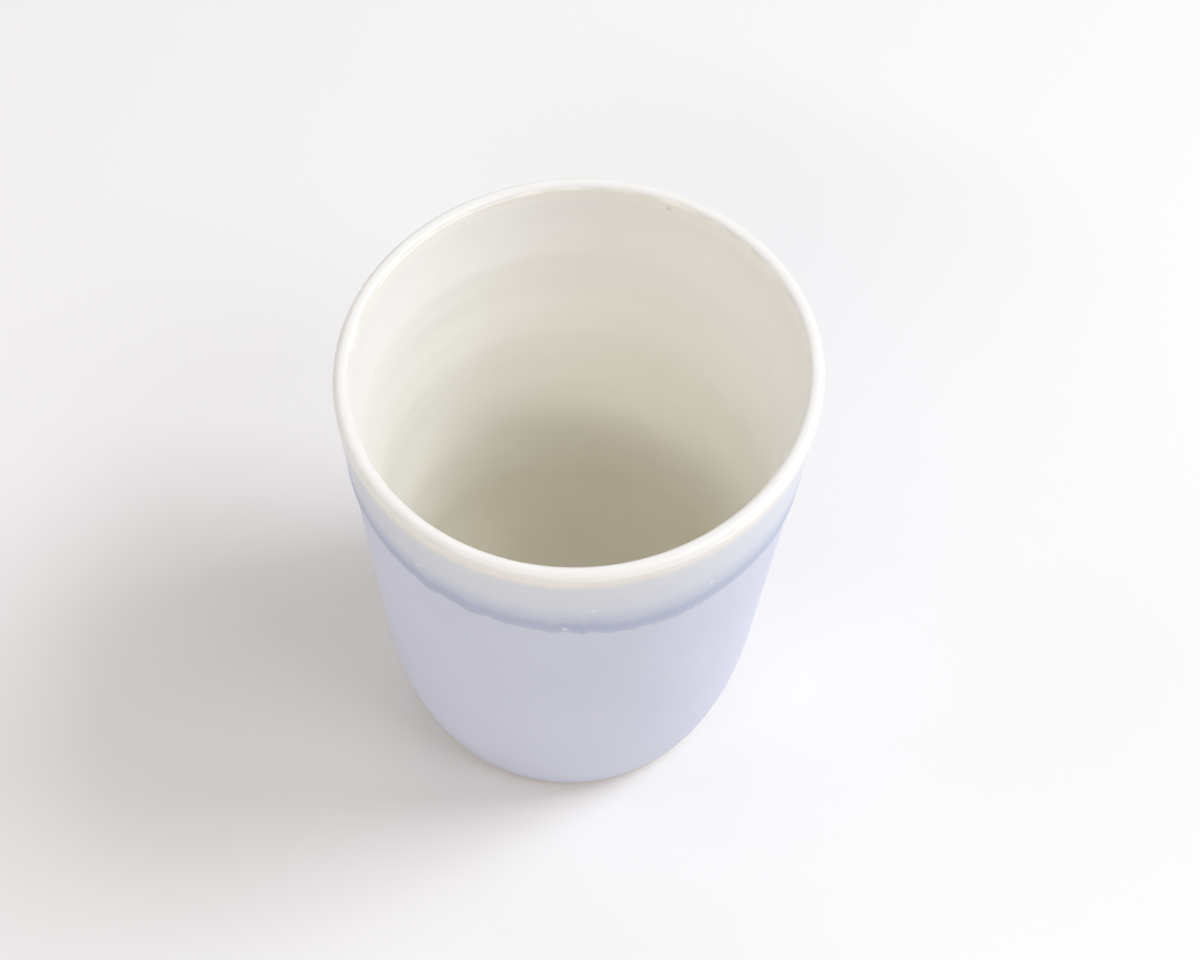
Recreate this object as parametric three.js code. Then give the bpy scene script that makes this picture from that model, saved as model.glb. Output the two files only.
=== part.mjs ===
// A wheel-thrown cup with no handle. One clay body carries a blue slip outside, a cream glaze inside, and the rim
// glaze that it was dipped in: white over the clay of the lip, pale over the slip, dark where its lower edge pooled.
// Millimetres, +Z up, the foot on z = 0 and the axis of the wheel on Z.
import * as THREE from 'three';

// The thrown clay, without its coats
const CLAY_HEIGHT = 99.7;
const RIM_RADIUS = 41.5; // outside, where the lip starts to round over
const BELLY_RADIUS = 36.1; // outside, where the straight wall ends
const BELLY_HEIGHT = 30;
const HEEL_TUCK = 3.3; // how far the heel draws in at the foot from the line of the wall
const LIP_THICKNESS = 1.9;
const WALL_THICKNESS = 3.4; // at the belly
const FLOOR_THICKNESS = 3.6;
const FLOOR_TURN = 13; // radius between the floor and the inside wall

// The foot, turned after throwing
const FOOT_WIDTH = 3.4; // flat ring that stands on the table
const FOOT_BEVEL = 0.8;
const RECESS_DEPTH = 2.4;
const RECESS_SLOPE = 1.6; // how far the recess wall leans in

// The coats
const SLIP_THICKNESS = 0.3;
const GLAZE_THICKNESS = 0.3;
const POOL_THICKNESS = 0.15; // extra glaze that gathered in the lower edge
const EDGE_THICKNESS = 0.13; // where that edge ends on the slip
const BOND = 0.05; // hairline between a coat and what it lies on
const SLIP_CLEARANCE = 1.2; // bare clay between the table and the slip
const LIP_COAT = 3.4; // white lip, down the outside from the top of the clay
const BAND_COAT = 14; // pale band below the lip
const POOL_COAT = 4; // pooled edge below the band
const LINER_DROP = 3; // top of the liner below the top of the clay

// The rings that the fingers left inside
const RING_PITCH = 8;
const RING_HEIGHT = 0.3;
const RING_MARGIN = 8; // plain wall above and below the rings

// Steps in the round parts
const TURN_SEGMENTS = 60;
const HEEL_STEPS = 6;
const LIP_STEPS = 6;
const FLOOR_STEPS = 6;
const RING_STEPS = 4;
const POOL_STEPS = 4;

// Places that follow from the sizes above
const lipRound = LIP_THICKNESS / 2;
const lipHeight = CLAY_HEIGHT - lipRound; // centre of the lip's rounding
const lipMiddle = RIM_RADIUS - lipRound;
const straightHeight = lipHeight - BELLY_HEIGHT;
const outsideTaper = (RIM_RADIUS - BELLY_RADIUS) / straightHeight;
const insideTaper = (RIM_RADIUS - LIP_THICKNESS - BELLY_RADIUS + WALL_THICKNESS) / straightHeight;
const floorHeight = RECESS_DEPTH + FLOOR_THICKNESS;
const turnHeight = floorHeight + FLOOR_TURN;
const bandTop = CLAY_HEIGHT - LIP_COAT;
const poolTop = bandTop - BAND_COAT;
const poolFoot = poolTop - POOL_COAT;
const linerTop = CLAY_HEIGHT - LINER_DROP;
const ringFoot = turnHeight + RING_MARGIN;
const ringCount = Math.floor((linerTop - RING_MARGIN - ringFoot) / RING_PITCH);

/** Values from the first to the last, both included, in equal steps. */
function evenly(first, last, steps) {
  return Array.from({ length: steps + 1 }, (_, step) => THREE.MathUtils.lerp(first, last, step / steps));
}

/** Outside radius of the clay: a straight taper, drawn in by a cubic below the belly. */
function outsideRadius(height) {
  const low = Math.max(0, 1 - height / BELLY_HEIGHT);
  return RIM_RADIUS - outsideTaper * (lipHeight - height) - HEEL_TUCK * low ** 3;
}

/** Radius of the straight inside wall, a depth of coat in from the clay. */
function insideRadius(height, coat) {
  const clay = RIM_RADIUS - LIP_THICKNESS - insideTaper * (lipHeight - height);
  return clay - coat * Math.hypot(1, insideTaper);
}

/** Points up the outside wall between two heights, a depth of coat out from the clay. */
function outsideWall(low, high, coat) {
  const heel = evenly(FOOT_BEVEL, BELLY_HEIGHT, HEEL_STEPS);
  const between = heel.filter((height) => height > low && height < high);
  return [low, ...between, high].map((height) => new THREE.Vector2(outsideRadius(height) + coat, height));
}

/** Points over the lip, from 0 along it at the outside to 1 at the inside. coatAt gives the depth of coat there. */
function overLip(coatAt) {
  return evenly(0, 1, LIP_STEPS).map((along) => {
    const angle = along * Math.PI;
    const radius = lipRound + coatAt(along);
    return new THREE.Vector2(lipMiddle + radius * Math.cos(angle), lipHeight + radius * Math.sin(angle));
  });
}

/** Points from the foot of the inside wall round to the middle of the floor, a depth of coat in from the clay. */
function floorTurn(coat) {
  const centre = insideRadius(turnHeight, FLOOR_TURN);
  const radius = FLOOR_TURN - coat;
  const turn = evenly(-Math.atan(insideTaper), -Math.PI / 2, FLOOR_STEPS).map(
    (angle) => new THREE.Vector2(centre + radius * Math.cos(angle), turnHeight + radius * Math.sin(angle)),
  );
  return [...turn, new THREE.Vector2(0, floorHeight + coat)];
}

/** Turns a section about Z. The section ends on the axis at both ends, or comes back to its first point. */
function turned(name, section, material) {
  const geometry = new THREE.LatheGeometry(section, TURN_SEGMENTS);
  geometry.rotateX(Math.PI / 2);
  const mesh = new THREE.Mesh(geometry, material);
  mesh.name = name;
  return mesh;
}

/** A coat round the cup, between the surface that it lies on and its own face, both given in the same direction. */
function ringCoat(name, underside, face, material) {
  return turned(name, [...face, ...underside.reverse(), face[0]], material);
}

function finish(color, roughness) {
  return new THREE.MeshStandardMaterial({ color, roughness, metalness: 0 });
}

function clayBody() {
  const footOuter = outsideRadius(FOOT_BEVEL) - FOOT_BEVEL;
  const footInner = footOuter - FOOT_WIDTH;
  const foot = [
    new THREE.Vector2(0, RECESS_DEPTH),
    new THREE.Vector2(footInner - RECESS_SLOPE, RECESS_DEPTH),
    new THREE.Vector2(footInner, 0),
    new THREE.Vector2(footOuter, 0),
  ];
  const section = [...foot, ...outsideWall(FOOT_BEVEL, bandTop, 0), ...overLip(() => 0), ...floorTurn(0)];
  return turned('clay_body', section, finish('#ece8df', 0.8));
}

function blueSlip() {
  const top = bandTop - BOND;
  const underside = outsideWall(SLIP_CLEARANCE, top, BOND);
  const face = outsideWall(SLIP_CLEARANCE, top, SLIP_THICKNESS);
  return ringCoat('blue_slip', underside, face, finish('#b9bccd', 0.55));
}

/** The inside coat. Its face rises in a ring at each pitch, where the fingers lifted the wall. */
function linerGlaze() {
  const ringed = evenly(ringCount, 0, ringCount * RING_STEPS).map((turns) => {
    const height = ringFoot + turns * RING_PITCH;
    const ring = RING_HEIGHT * Math.sin(turns * Math.PI) ** 2;
    return new THREE.Vector2(insideRadius(height, GLAZE_THICKNESS + ring), height);
  });
  const top = new THREE.Vector2(insideRadius(linerTop, GLAZE_THICKNESS), linerTop);
  const face = [top, ...ringed, ...floorTurn(GLAZE_THICKNESS)];
  const underside = [new THREE.Vector2(insideRadius(linerTop, BOND), linerTop), ...floorTurn(BOND)];
  return turned('liner_glaze', [...underside.reverse(), ...face], finish('#e6dfcc', 0.25));
}

/** The lip's coat starts flush with the band on the slip and thins to plain glaze at the top. */
function lipGlaze() {
  const overSlip = SLIP_THICKNESS + GLAZE_THICKNESS;
  const thinning = (along) => Math.max(GLAZE_THICKNESS, THREE.MathUtils.lerp(overSlip, 0, along));
  const end = linerTop + BOND;
  const underside = [
    new THREE.Vector2(outsideRadius(bandTop) + BOND, bandTop),
    ...overLip(() => BOND),
    new THREE.Vector2(insideRadius(end, BOND), end),
  ];
  const face = [
    new THREE.Vector2(outsideRadius(bandTop) + overSlip, bandTop),
    ...overLip(thinning),
    new THREE.Vector2(insideRadius(end, GLAZE_THICKNESS), end),
  ];
  return ringCoat('lip_glaze', underside, face, finish('#f2ede4', 0.2));
}

function bandGlaze() {
  const low = poolTop + BOND;
  const high = bandTop - BOND;
  const underside = outsideWall(low, high, SLIP_THICKNESS + BOND);
  const face = outsideWall(low, high, SLIP_THICKNESS + GLAZE_THICKNESS);
  return ringCoat('band_glaze', underside, face, finish('#cfd2d9', 0.25));
}

/** The lower edge of the dip: a round nose on the slip, then a low swell that runs out into the band. */
function pooledEdge() {
  const underside = outsideWall(poolFoot, poolTop, SLIP_THICKNESS + BOND);
  const face = evenly(0, 1, POOL_STEPS).map((along) => {
    const nose = Math.sqrt(THREE.MathUtils.lerp(EDGE_THICKNESS ** 2, GLAZE_THICKNESS ** 2, along));
    const swell = POOL_THICKNESS * Math.sin(along * Math.PI);
    const height = THREE.MathUtils.lerp(poolFoot, poolTop, along);
    return new THREE.Vector2(outsideRadius(height) + SLIP_THICKNESS + nose + swell, height);
  });
  return ringCoat('pooled_edge', underside, face, finish('#9ea3bd', 0.25));
}

const cup = new THREE.Group();
cup.add(clayBody(), blueSlip(), linerGlaze(), lipGlaze(), bandGlaze(), pooledEdge());

export default cup;
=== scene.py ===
"""Dresses a wheel-thrown cup with no handle: fine meshes for its clay, slip and glazes, and their finishes.

A plain floor, soft lights and the photograph's camera are set round it.
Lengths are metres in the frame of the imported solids: the foot stands on z = 0 and the axis of the wheel is Z.
"""

import math

import bmesh
import bpy
import numpy as np
from mathutils import Matrix, Vector


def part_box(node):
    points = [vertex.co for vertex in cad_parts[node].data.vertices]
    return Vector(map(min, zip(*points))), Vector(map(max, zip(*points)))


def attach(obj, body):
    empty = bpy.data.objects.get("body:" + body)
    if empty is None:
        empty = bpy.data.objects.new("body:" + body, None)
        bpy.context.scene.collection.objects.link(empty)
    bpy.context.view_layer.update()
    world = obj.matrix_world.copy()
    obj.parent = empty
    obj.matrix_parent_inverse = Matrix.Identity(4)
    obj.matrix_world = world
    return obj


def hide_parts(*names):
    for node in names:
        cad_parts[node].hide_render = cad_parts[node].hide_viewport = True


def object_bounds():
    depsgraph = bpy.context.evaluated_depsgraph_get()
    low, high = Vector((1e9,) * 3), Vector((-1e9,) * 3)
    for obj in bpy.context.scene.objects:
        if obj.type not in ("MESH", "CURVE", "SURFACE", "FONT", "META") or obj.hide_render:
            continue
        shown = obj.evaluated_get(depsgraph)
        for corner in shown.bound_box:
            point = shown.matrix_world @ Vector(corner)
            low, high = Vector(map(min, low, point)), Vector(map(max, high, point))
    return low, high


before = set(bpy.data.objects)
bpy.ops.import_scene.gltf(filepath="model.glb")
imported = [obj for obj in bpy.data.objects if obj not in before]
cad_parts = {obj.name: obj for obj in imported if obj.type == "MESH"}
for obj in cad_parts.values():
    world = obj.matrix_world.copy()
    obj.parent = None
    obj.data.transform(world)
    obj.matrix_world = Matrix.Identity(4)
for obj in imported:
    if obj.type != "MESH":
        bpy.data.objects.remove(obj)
cad_low, cad_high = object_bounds()

MM = 0.001

# Heights taken from the solids
CLAY_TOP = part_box("clay_body")[1].z
SLIP_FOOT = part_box("blue_slip")[0].z
BAND_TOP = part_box("blue_slip")[1].z
POOL_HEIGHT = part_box("pooled_edge")[1].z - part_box("pooled_edge")[0].z
LINER_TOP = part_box("liner_glaze")[1].z

# The section of the thrown clay, as in the solids
RIM_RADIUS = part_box("clay_body")[1].x
BELLY_RADIUS = 36.1 * MM
BELLY_HEIGHT = 30 * MM
HEEL_TUCK = 3.3 * MM
LIP_THICKNESS = 1.9 * MM
WALL_THICKNESS = 3.4 * MM
FLOOR_HEIGHT = 6 * MM
FLOOR_TURN = 13 * MM
FOOT_WIDTH = 3.4 * MM
FOOT_BEVEL = 0.8 * MM
RECESS_DEPTH = 2.4 * MM
RECESS_SLOPE = 1.6 * MM
SLIP_THICKNESS = 0.3 * MM
GLAZE_THICKNESS = 0.3 * MM
OVERLAP = 0.05 * MM  # how far the dipped glaze reaches into the slip under it

# What the hand did to it
OVAL = 0.76 * MM  # the lip is this much wider one way and narrower the other
OVAL_DIRECTION = math.radians(39)
LIP_WAVE = 0.12 * MM
DIP_HEIGHT = 78.2 * MM  # mean height of the glaze's lower edge
DIP_TILT = 2.0 * MM  # it was dipped a little askew, and the edge is higher towards -X
POOL_SWELL = 0.12 * MM
RING_PITCH = 8 * MM  # finger grooves inside
RING_HEIGHT = 0.05 * MM
SWELL_PITCH = 22.5 * MM  # broad swells of the inside wall, one for each pull of the hands
SWELL_HEIGHT = 0.24 * MM
SWELL_CREST = 61.5 * MM  # height of one of them
RING_FADE = 16 * MM  # grooves and swells run out over this much wall at the top and the bottom
WALL_PITCH = 3.1 * MM  # faint lines outside
WALL_LINES = 0.025 * MM
TOOL_PITCH = 1.7 * MM  # turning lines under the foot
TOOL_LINES = 0.06 * MM
PINHOLE = 0.45 * MM  # radius of the burst bubbles in the dipped glaze
PINHOLE_DEPTH = 0.12 * MM
PINHOLES = [  # azimuth in degrees and height in mm, as for the specks below
    (-83.5, 87.4),
    (-89.9, 80.4),
    (-52.0, 84.1),
    (-128.0, 86.0),
    (21.0, 82.6),
    (74.0, 88.3),
    (139.0, 83.9),
]
LIP_SPECK = 0.4 * MM  # radius of the iron specks in the glaze inside the lip
LIP_SPECKS = [(69.0, 97.9), (203.0, 98.2)]

LINER_WHITE = (0.9, 0.877, 0.837)  # where the inside coat is thinnest, up at the lip
TABLE_COLOUR = (0.772, 0.743, 0.717)
TABLE_ROUGHNESS = 0.6
TABLE_SIZE = 8.0

# Mesh steps
SEGMENTS = 640
ROW = 1.2 * MM  # between rows that show
HIDDEN_ROW = 3 * MM  # between rows that a coat covers
FINE_ROW = 0.35 * MM  # across the dipped glaze, the lip and the lines under the foot
LIP_ROWS = 25  # over the round of the lip
POOL_ROWS = 20  # up the pooled edge
SHARP = math.radians(40)  # faces that meet at more than this keep a crisp edge
ON_AXIS = 1e-7  # points nearer to the axis than this are on it
JOIN_DISTANCE = 0.1 * MM

# The photograph's camera
IMAGE_SIZE = (1200, 960)
SENSOR = 36.0
LENS = 84.0
CAMERA_DISTANCE = 481.6 * MM
CAMERA_ELEVATION = math.radians(58.08)
CAMERA_ROLL = math.radians(-3.23)
MOUTH_PIXEL = (579.6, 367.3)  # where the middle of the mouth shows

# Places that follow from the sizes above
lip_round = LIP_THICKNESS / 2
lip_height = CLAY_TOP - lip_round
lip_middle = RIM_RADIUS - lip_round
straight_height = lip_height - BELLY_HEIGHT
outside_taper = (RIM_RADIUS - BELLY_RADIUS) / straight_height
inside_taper = (RIM_RADIUS - LIP_THICKNESS - BELLY_RADIUS + WALL_THICKNESS) / straight_height
turn_height = FLOOR_HEIGHT + FLOOR_TURN
over_slip = SLIP_THICKNESS + GLAZE_THICKNESS
crest_height = CLAY_TOP + GLAZE_THICKNESS
dip_depth = crest_height - DIP_HEIGHT

angles = np.linspace(0, 2 * math.pi, SEGMENTS, endpoint=False)


def wander(size, slowest, fastest, seed):
    """A smooth random value for each angle: waves of slowest to fastest turns, about size high."""
    dice = np.random.default_rng(seed)
    turns = np.arange(slowest, fastest + 1)
    phases = dice.uniform(0, 2 * math.pi, len(turns))
    heights = dice.normal(0, 1, len(turns)) / np.sqrt(len(turns) / 2)
    return size * (np.sin(np.outer(angles, turns) + phases) @ heights)


lip_wave = wander(LIP_WAVE, 2, 5, seed=2)
dip_edge = (
    DIP_HEIGHT
    - DIP_TILT * np.cos(angles)
    + wander(0.22 * MM, 3, 12, seed=4)
    + wander(0.17 * MM, 20, 60, seed=5)
    + wander(0.10 * MM, 70, 200, seed=6)
)
pool_swell = POOL_SWELL + wander(0.3 * POOL_SWELL, 5, 40, seed=7)


def steps(first, last, size):
    """Values from first to last, about size apart, as a column."""
    count = max(2, round(abs(last - first) / size) + 1)
    return np.linspace(first, last, count)[:, None]


def rise(value, low, high):
    """0 up to low, 1 from high on, and a smooth rise between."""
    along = np.clip((value - low) / (high - low), 0, 1)
    return along * along * (3 - 2 * along)


def winding(distance, pitch):
    """A groove that winds once round in each pitch, from 0 to 1, with an uneven spacing."""
    drift = 0.3 * np.sin(distance / (1.4 * pitch)) + 0.16 * np.sin(distance / (0.6 * pitch) + 1)
    return 0.5 + 0.5 * np.sin(2 * math.pi * (distance / pitch + drift) - angles)


def outside_radius(height):
    low = np.clip(1 - height / BELLY_HEIGHT, 0, None)
    return RIM_RADIUS - outside_taper * (lip_height - height) - HEEL_TUCK * low**3


def inside_radius(height, coat):
    clay = RIM_RADIUS - LIP_THICKNESS - inside_taper * (lip_height - height)
    return clay - coat * math.hypot(1, inside_taper)


def rows(radius, height):
    """Radius and height as full grids, one row per step and one column per angle."""
    shape = (max(len(radius), len(height)), SEGMENTS)
    return np.broadcast_to(radius, shape), np.broadcast_to(height, shape)


def stack(*parts):
    """Joins grids of rows end to end."""
    return tuple(np.concatenate(grids) for grids in zip(*parts))


def backwards(grid):
    radius, height = grid
    return radius[::-1], height[::-1]


def but_last(grid):
    """The grid without its last row, where the next one starts in the same place."""
    radius, height = grid
    return radius[:-1], height[:-1]


def wall(low, high, coat, step=HIDDEN_ROW):
    """Rows up the outside wall, a depth of coat out from the clay."""
    along = steps(0, 1, step / float(np.mean(high) - np.mean(low)))
    height = low + (high - low) * along
    return rows(outside_radius(height) + coat, height)


def over_lip(outer_coat, inner_coat):
    """Rows over the lip, from outside to inside. By the crest the coat has its inner thickness."""
    along = np.linspace(0, 1, LIP_ROWS)[:, None]
    radius = lip_round + np.maximum(inner_coat, outer_coat + (inner_coat - outer_coat) * 2 * along)
    angle = along * math.pi
    return rows(lip_middle + radius * np.cos(angle), lip_height + radius * np.sin(angle))


def floor_turn(coat, step):
    """Rows from the foot of the inside wall to the middle of the floor, a depth of coat in from the clay."""
    centre = inside_radius(turn_height, FLOOR_TURN)
    radius = FLOOR_TURN - coat
    angle = steps(-math.atan(inside_taper), -math.pi / 2, step / FLOOR_TURN)
    turn = rows(centre + radius * np.cos(angle), turn_height + radius * np.sin(angle))
    flat = steps(centre, 0, step)[1:]
    return stack(turn, rows(flat, np.full_like(flat, FLOOR_HEIGHT + coat)))


def spots(height, places, size):
    """1 in the middle of each place, given as azimuth in degrees and height in mm, falling to 0 around it."""
    level = np.zeros(height.shape)
    for azimuth, up in places:
        aside = np.angle(np.exp(1j * (angles - math.radians(azimuth)))) * RIM_RADIUS
        level += np.exp(-(aside**2 + (height - up * MM) ** 2) / size**2)
    return level


def by_hand(radius, height):
    """Draws a true turned form slightly out of round, more towards the lip."""
    up = height / CLAY_TOP
    radius = radius + (radius > 0) * up * OVAL * np.cos(2 * (angles - OVAL_DIRECTION))
    return radius, height + lip_wave * up**4


def turned(name, grid, node, surface, slot, **attributes):
    """A closed piece from the rows of its section, which runs from axis to axis or round to its first row."""
    radius, height = by_hand(*grid)
    points = np.stack([radius * np.cos(angles), radius * np.sin(angles), height], -1).reshape(-1, 3)
    count = len(radius)
    closed = grid[0][0].max() > 0
    row = np.arange(count if closed else count - 1)[:, None]
    here = np.arange(SEGMENTS)[None, :]
    beside = (here + 1) % SEGMENTS
    above = (row + 1) % count
    lower = [row * SEGMENTS + here, row * SEGMENTS + beside]
    upper = [above * SEGMENTS + beside, above * SEGMENTS + here]
    faces = np.stack(lower + upper, -1).reshape(-1, 4)
    mesh = bpy.data.meshes.new(name)
    mesh.from_pydata(points.tolist(), [], faces.tolist())
    for attribute, values in attributes.items():
        flat = np.asarray(values, dtype=np.float32).ravel()
        mesh.attributes.new(attribute, "FLOAT", "POINT").data.foreach_set("value", flat)
    join_axis(mesh)
    mesh.shade_smooth()
    mesh.set_sharp_from_angle(angle=SHARP)
    mesh.materials.append(surface)
    piece = bpy.data.objects.new(name, mesh)
    bpy.context.scene.collection.objects.link(piece)
    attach(piece, "root")
    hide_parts(node)


def join_axis(mesh):
    """Merges the points that meet on the axis, so that rows there end in triangles."""
    form = bmesh.new()
    form.from_mesh(mesh)
    axis = [point for point in form.verts if math.hypot(point.co.x, point.co.y) < ON_AXIS]
    bmesh.ops.remove_doubles(form, verts=axis, dist=JOIN_DISTANCE)
    form.to_mesh(mesh)
    form.free()


def add(tree, kind, inputs=None, **settings):
    """A new shader node. An input is a value, or the output of another node."""
    node = tree.nodes.new("ShaderNode" + kind)
    for name, value in settings.items():
        setattr(node, name, value)
    for name, value in (inputs or {}).items():
        if isinstance(value, bpy.types.NodeSocket):
            tree.links.new(value, node.inputs[name])
        else:
            node.inputs[name].default_value = value
    return node


def material(name):
    """A new material with its tree, its shader and the place on the object, in metres."""
    made = bpy.data.materials.new(name)
    made.use_nodes = True
    tree = made.node_tree
    shader = tree.nodes["Principled BSDF"]
    return made, tree, shader, add(tree, "TexCoord").outputs["Object"]


def noise(tree, place, scale, detail=2.0, stretch=(1, 1, 1)):
    """A cloudy value from 0 to 1, with about scale features in a metre along an unstretched axis."""
    stretched = add(tree, "Mapping", {"Vector": place, "Scale": stretch}).outputs["Vector"]
    return add(tree, "TexNoise", {"Vector": stretched, "Scale": scale, "Detail": detail}).outputs["Fac"]


def total(tree, *parts):
    """The sum of value times weight over the parts, which are (value, weight)."""
    result = 0.0
    for value, weight in parts:
        result = add(tree, "Math", {0: value, 1: weight, 2: result}, operation="MULTIPLY_ADD").outputs[0]
    return result


def specks(tree, place, scale, size, share):
    """1 in small round specks: scale cells in a metre, a speck of size cells across in a share of them."""
    cells = add(tree, "TexVoronoi", {"Vector": place, "Scale": scale})
    near = {"Value": cells.outputs["Distance"], "From Min": size / 2, "From Max": size / 4}
    spot = add(tree, "MapRange", near).outputs["Result"]
    lot = add(tree, "SeparateColor", {"Color": cells.outputs["Color"]}).outputs["Red"]
    chosen = add(tree, "Math", {0: lot, 1: share}, operation="LESS_THAN").outputs[0]
    return add(tree, "Math", {0: spot, 1: chosen}, operation="MULTIPLY").outputs[0]


def ramp(tree, factor, stops):
    """Colours along a factor: stops are (factor, colour)."""
    node = add(tree, "ValToRGB", {"Fac": factor})
    elements = node.color_ramp.elements
    while len(elements) < len(stops):
        elements.new(0.5)
    for element, (position, colour) in zip(elements, stops):
        element.position = position
        element.color = (*colour, 1)
    return node.outputs["Color"]


def toned(tree, colour, tone, spread):
    """The colour, darker where the tone is 0 and lighter where it is 1, by half the spread either way."""
    level = {"Value": tone, "To Min": 1 - spread / 2, "To Max": 1 + spread / 2}
    factor = add(tree, "MapRange", level).outputs["Result"]
    return add(tree, "VectorMath", {0: colour, 1: factor}, operation="MULTIPLY").outputs["Vector"]


def mixed(tree, factor, colour, other):
    """The first colour where the factor is 0 and the other where it is 1."""
    return add(tree, "Mix", {0: factor, 6: colour, 7: (*other, 1)}, data_type="RGBA").outputs[2]


def finish(tree, shader, colour, roughness, relief, depth):
    """Joins a colour, a range of roughness along the relief, and a bump of that depth, to the shader."""
    rough = add(tree, "MapRange", {"Value": relief, "To Min": roughness[0], "To Max": roughness[1]})
    bump = add(tree, "Bump", {"Height": relief, "Strength": 1.0, "Distance": depth})
    tree.links.new(colour, shader.inputs["Base Color"])
    tree.links.new(rough.outputs["Result"], shader.inputs["Roughness"])
    tree.links.new(bump.outputs["Normal"], shader.inputs["Normal"])


def slip_finish():
    """Satin slip: soft clouds, streaks that the wheel drew out, a fine grain and a few pale specks."""
    made, tree, shader, place = material("blue_slip")
    cloud = noise(tree, place, 45, detail=3)
    streak = noise(tree, place, 30, detail=4, stretch=(1, 1, 14))
    grain = noise(tree, place, 1600, detail=3)
    tone = total(tree, (cloud, 0.45), (streak, 0.3), (grain, 0.25))
    colour = ramp(tree, cloud, [(0.35, (0.627, 0.648, 0.781)), (0.65, (0.642, 0.663, 0.786))])
    colour = toned(tree, colour, tone, 0.14)
    colour = mixed(tree, specks(tree, place, 210, 0.14, 0.3), colour, (0.77, 0.77, 0.82))
    finish(tree, shader, colour, (0.42, 0.58), total(tree, (streak, 0.3), (grain, 0.7)), 0.02 * MM)
    return made


def liner_finish():
    """Glossy cream glaze, thin and white at the top, thicker and deeper in colour towards the floor, where the
    darker colour is also painted shade.
    """
    made, tree, shader, place = material("liner_glaze")
    up = add(tree, "SeparateXYZ", {"Vector": place}).outputs["Z"]
    cloud = noise(tree, place, 55, detail=3)
    streak = noise(tree, place, 30, detail=3, stretch=(1, 1, 8))
    along = total(tree, (up, 1 / CLAY_TOP), (cloud, 0.1), (1.0, -0.05))
    # The two lowest stops are darker than the pooled glaze alone: painted shade on the floor and its turn,
    # where little light gets in.
    stops = [
        (0.08, (0.765, 0.72, 0.59)),
        (0.22, (0.868, 0.834, 0.731)),
        (0.45, (0.892, 0.861, 0.781)),
        (0.70, (0.902, 0.876, 0.814)),
        (0.90, LINER_WHITE),
    ]
    colour = toned(tree, ramp(tree, along, stops), streak, 0.03)
    depth = {"Value": along, "From Min": 0.1, "From Max": 0.4, "To Min": 0.2, "To Max": 0.0}
    deep = add(tree, "MapRange", depth).outputs["Result"]
    rough = total(tree, (cloud, 0.1), (deep, 1.0), (1.0, 0.25))
    tree.links.new(rough, shader.inputs["Roughness"])
    tree.links.new(colour, shader.inputs["Base Color"])
    return made


def rim_finish():
    """The dipped glaze: dark at its edge, pale over the slip, warm where that ends, white over the lip."""
    made, tree, shader, place = material("rim_glaze")
    up = add(tree, "Attribute", attribute_name="above_edge").outputs["Fac"]
    cloud = noise(tree, place, 170, detail=3)
    grain = noise(tree, place, 1200, detail=2)
    full = dip_depth + crest_height - LINER_TOP
    drift = 1.2 * MM
    along = total(tree, (up, 1 / full), (cloud, drift / full), (1.0, -drift / 2 / full))
    stops = [
        (0.0, (0.47, 0.51, 0.655)),
        (1.6, (0.415, 0.455, 0.61)),
        (3.4, (0.41, 0.45, 0.61)),
        (5.2, (0.505, 0.55, 0.68)),
        (9.5, (0.66, 0.688, 0.765)),
        (17.4, (0.715, 0.735, 0.785)),
        (18.6, (0.81, 0.79, 0.775)),
        (19.3, (0.90, 0.855, 0.79)),
        (20.2, (0.91, 0.875, 0.815)),
        (20.9, (0.90, 0.87, 0.815)),
        (21.6, (0.765, 0.74, 0.695)),
        (22.2, (0.725, 0.695, 0.64)),
        (22.5, (0.90, 0.86, 0.785)),
        (23.1, (0.94, 0.895, 0.83)),
        (24.8, (0.93, 0.90, 0.85)),
    ]
    colour = ramp(tree, along, [(height * MM / full, shade) for height, shade in stops])
    colour = toned(tree, colour, total(tree, (cloud, 0.6), (grain, 0.4)), 0.08)
    hole = add(tree, "Attribute", attribute_name="pinhole").outputs["Fac"]
    colour = mixed(tree, hole, colour, (0.82, 0.82, 0.84))
    speck = add(tree, "Attribute", attribute_name="speck").outputs["Fac"]
    colour = mixed(tree, speck, colour, (0.60, 0.57, 0.52))
    finish(tree, shader, colour, (0.26, 0.38), total(tree, (cloud, 0.7), (grain, 0.3)), 0.012 * MM)
    return made


def clay_finish():
    """Bare clay: a dry grain, the lines of the turning tool, and a few dark specks."""
    made, tree, shader, place = material("bare_clay")
    cloud = noise(tree, place, 90, detail=3)
    grain = noise(tree, place, 2200, detail=3)
    lines = {"Vector": place, "Scale": 180, "Distortion": 2.0, "Detail": 2.0}
    tool = add(tree, "TexWave", lines, wave_type="RINGS", rings_direction="Z").outputs["Fac"]
    tone = total(tree, (cloud, 0.4), (grain, 0.35), (tool, 0.25))
    colour = ramp(tree, tone, [(0.3, (0.70, 0.665, 0.60)), (0.7, (0.80, 0.77, 0.71))])
    colour = mixed(tree, specks(tree, place, 260, 0.16, 0.2), colour, (0.45, 0.38, 0.31))
    finish(tree, shader, colour, (0.75, 0.95), total(tree, (grain, 0.6), (tool, 0.4)), 0.04 * MM)
    return made


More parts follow.
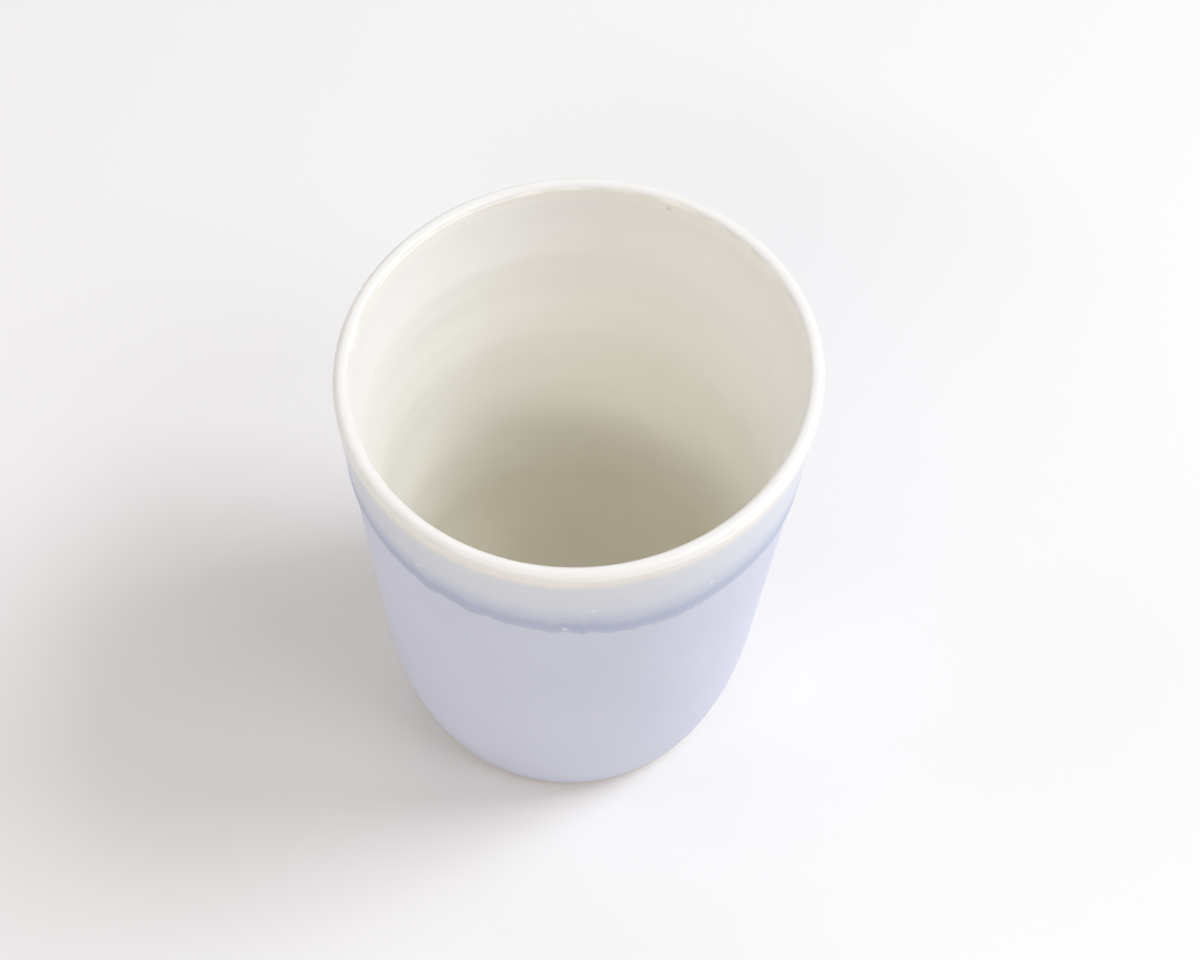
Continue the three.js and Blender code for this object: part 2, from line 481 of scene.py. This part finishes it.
def build_clay():
    """The thrown body. Only its foot shows: a turned recess inside a narrow flat ring."""
    foot_outer = outside_radius(FOOT_BEVEL) - FOOT_BEVEL
    foot_inner = foot_outer - FOOT_WIDTH
    recess = foot_inner - RECESS_SLOPE
    hollow = steps(0, recess, FINE_ROW)
    cut = RECESS_DEPTH - TOOL_LINES * winding(hollow, TOOL_PITCH) * rise(hollow, 0, TOOL_PITCH)
    soft = FOOT_WIDTH / 8
    ring = np.array([
        [foot_inner - soft / 2, soft * 0.7],
        [foot_inner + soft / 2, 0],
        [foot_outer - soft / 2, 0],
        [foot_outer + soft / 4, soft / 4],
    ])
    section = stack(
        rows(hollow, cut),
        rows(ring[:, :1], ring[:, 1:]),
        wall(FOOT_BEVEL, BAND_TOP, 0),
        over_lip(0, 0),
        floor_turn(0, HIDDEN_ROW),
    )
    turned("thrown_clay", section, "clay_body", clay_finish(), "clay")


def build_slip():
    radius, height = wall(SLIP_FOOT, BAND_TOP, SLIP_THICKNESS, ROW)
    radius = radius + WALL_LINES * (winding(height, WALL_PITCH) - 0.5)
    back = backwards(wall(SLIP_FOOT, BAND_TOP, 0))
    turned("slip_coat", stack((radius, height), back), "blue_slip", slip_finish(), "slip")


def dipped(name, face, back, node, slot, crest, glaze):
    """A piece of the dipped glaze, with each point's distance up the dip, which grows on past the crest."""
    radius, height = stack(face, back)
    row = np.arange(len(height))[:, None]
    outside = row < min(crest, len(face[0]))
    inside = (row >= crest) & (row < len(face[0]))
    above = dip_depth * (height - dip_edge) / (crest_height - dip_edge)
    above = np.where(inside, dip_depth + crest_height - height, above)
    hole = outside * spots(height, PINHOLES, PINHOLE)
    speck = inside * spots(height, LIP_SPECKS, LIP_SPECK)
    radius = radius - PINHOLE_DEPTH * hole
    turned(name, (radius, height), node, glaze, slot, above_edge=above, pinhole=hole, speck=speck)


def build_dip():
    """The dipped glaze: its rolled lower edge, the band above that, and the coat of the lip."""
    glaze = rim_finish()
    pool_top = dip_edge + POOL_HEIGHT
    along = steps(0, 1, 1 / POOL_ROWS)
    height = dip_edge + POOL_HEIGHT * along
    nose = GLAZE_THICKNESS * np.sqrt(1 - (1 - np.minimum(1, along * 4)) ** 2)
    film = nose + pool_swell * np.sin(math.pi * along)
    pool_face = rows(outside_radius(height) + SLIP_THICKNESS + film, height)
    pool_back = backwards(wall(dip_edge, pool_top, SLIP_THICKNESS - OVERLAP))
    dipped("pooled_glaze", pool_face, pool_back, "pooled_edge", "pool", len(pool_face[0]), glaze)

    band_face = wall(pool_top, BAND_TOP, over_slip, FINE_ROW)
    band_back = backwards(wall(pool_top, BAND_TOP, SLIP_THICKNESS - OVERLAP))
    dipped("band_of_glaze", band_face, band_back, "band_glaze", "band", len(band_face[0]), glaze)

    lip_wall = wall(BAND_TOP, lip_height, over_slip, FINE_ROW)
    lip_inside = steps(lip_height, LINER_TOP, FINE_ROW)[1:]
    crown = over_lip(over_slip, GLAZE_THICKNESS)
    lip_face = stack(
        but_last(lip_wall),
        crown,
        rows(inside_radius(lip_inside, GLAZE_THICKNESS), lip_inside),
    )
    lip_back = stack(
        rows(inside_radius(lip_inside[::-1], 0), lip_inside[::-1]),
        backwards(over_lip(0, 0)),
        backwards(but_last(wall(BAND_TOP, lip_height, 0, FINE_ROW))),
    )
    crest = len(lip_wall[0]) - 1 + len(crown[0]) // 2
    dipped("lip_coat", lip_face, lip_back, "lip_glaze", "lip", crest, glaze)


def build_liner():
    """The inside coat, with the groove that the fingers wound up the wall and the swells of the pulls."""
    height = steps(LINER_TOP, turn_height, RING_PITCH / 10)[:-1]
    fade = rise(height, turn_height, turn_height + RING_FADE)
    fade = fade * rise(-height, -LINER_TOP, RING_FADE - LINER_TOP)
    swell = 0.5 + 0.5 * np.cos(2 * math.pi * (height - SWELL_CREST) / SWELL_PITCH)
    relief = fade * (RING_HEIGHT * winding(height, RING_PITCH) + SWELL_HEIGHT * swell)
    face = rows(inside_radius(height, GLAZE_THICKNESS + relief), height)
    face = stack(face, floor_turn(GLAZE_THICKNESS, ROW))
    top = np.full((1, SEGMENTS), LINER_TOP)
    back = backwards(stack((inside_radius(top, 0), top), floor_turn(0, HIDDEN_ROW)))
    turned("liner_coat", stack(back, face), "liner_glaze", liner_finish(), "liner")


def build_floor():
    bpy.ops.mesh.primitive_plane_add(size=TABLE_SIZE)
    floor = bpy.context.object
    floor.name = "floor"
    made, _, shader, _ = material("floor")
    shader.inputs["Base Color"].default_value = (*TABLE_COLOUR, 1)
    shader.inputs["Roughness"].default_value = TABLE_ROUGHNESS
    floor.data.materials.append(made)


def soft_light(name, azimuth, elevation, distance, width, height, power, colour):
    """An upright panel of light that faces the cup. Azimuth is from +X towards +Y, in degrees."""
    lamp = bpy.data.lights.new(name, "AREA")
    lamp.shape = "RECTANGLE"
    lamp.size = width
    lamp.size_y = height
    lamp.energy = power
    lamp.color = colour
    lit = bpy.data.objects.new(name, lamp)
    turn, lift = math.radians(azimuth), math.radians(elevation)
    away = Vector((math.cos(lift) * math.cos(turn), math.cos(lift) * math.sin(turn), math.sin(lift)))
    lit.location = Vector((0, 0, CLAY_TOP / 2)) + away * distance
    lit.rotation_euler = away.to_track_quat("Z", "Y").to_euler()
    bpy.context.scene.collection.objects.link(lit)


def build_light():
    world = bpy.data.worlds.new("studio")
    bpy.context.scene.world = world
    world.use_nodes = True
    background = world.node_tree.nodes["Background"]
    background.inputs["Color"].default_value = (1, 0.96, 0.93, 1)
    background.inputs["Strength"].default_value = 0.375
    cool = (0.945, 1, 1.09)
    warm = (1, 0.945, 0.865)
    soft_light("window", 12, 54, distance=1.4, width=0.5, height=0.5, power=9.9, colour=cool)
    soft_light("low window", 23, 31, distance=1.4, width=0.7, height=0.7, power=4.8, colour=cool)
    soft_light("right", 328, 52, distance=1.2, width=0.4, height=0.4, power=2.5, colour=cool)
    soft_light("front", 248, 44, distance=1.2, width=0.8, height=0.1, power=2.8, colour=warm)
    soft_light("left", 180, 32, distance=1.2, width=0.6, height=0.6, power=2.0, colour=cool)
    soft_light("back", 100, 35, distance=1.4, width=0.8, height=0.8, power=2.0, colour=cool)
    bpy.context.scene.view_settings.view_transform = "Standard"
    bpy.context.scene.view_settings.gamma = 1.1


def build_camera():
    """Stands where the photograph was taken, turned so that the middle of the mouth shows at its pixel."""
    focal = LENS / SENSOR * IMAGE_SIZE[0]
    forward = Vector((0, math.cos(CAMERA_ELEVATION), -math.sin(CAMERA_ELEVATION)))
    level = Vector((1, 0, 0))
    drop = forward.cross(level)
    right = level * math.cos(CAMERA_ROLL) + drop * math.sin(CAMERA_ROLL)
    down = drop * math.cos(CAMERA_ROLL) - level * math.sin(CAMERA_ROLL)
    across, below = ((pixel - side / 2) / focal for pixel, side in zip(MOUTH_PIXEL, IMAGE_SIZE))
    sight = (right * across + down * below + forward).normalized()
    data = bpy.data.cameras.new("camera")
    data.sensor_width = SENSOR
    data.lens = LENS
    camera = bpy.data.objects.new("camera", data)
    camera.matrix_world = Matrix((right, -down, -forward)).transposed().to_4x4()
    camera.location = Vector((0, 0, cad_high.z)) - sight * CAMERA_DISTANCE
    bpy.context.scene.collection.objects.link(camera)
    bpy.context.scene.camera = camera


build_camera()
build_clay()
build_slip()
build_dip()
build_liner()
build_floor()
build_light()
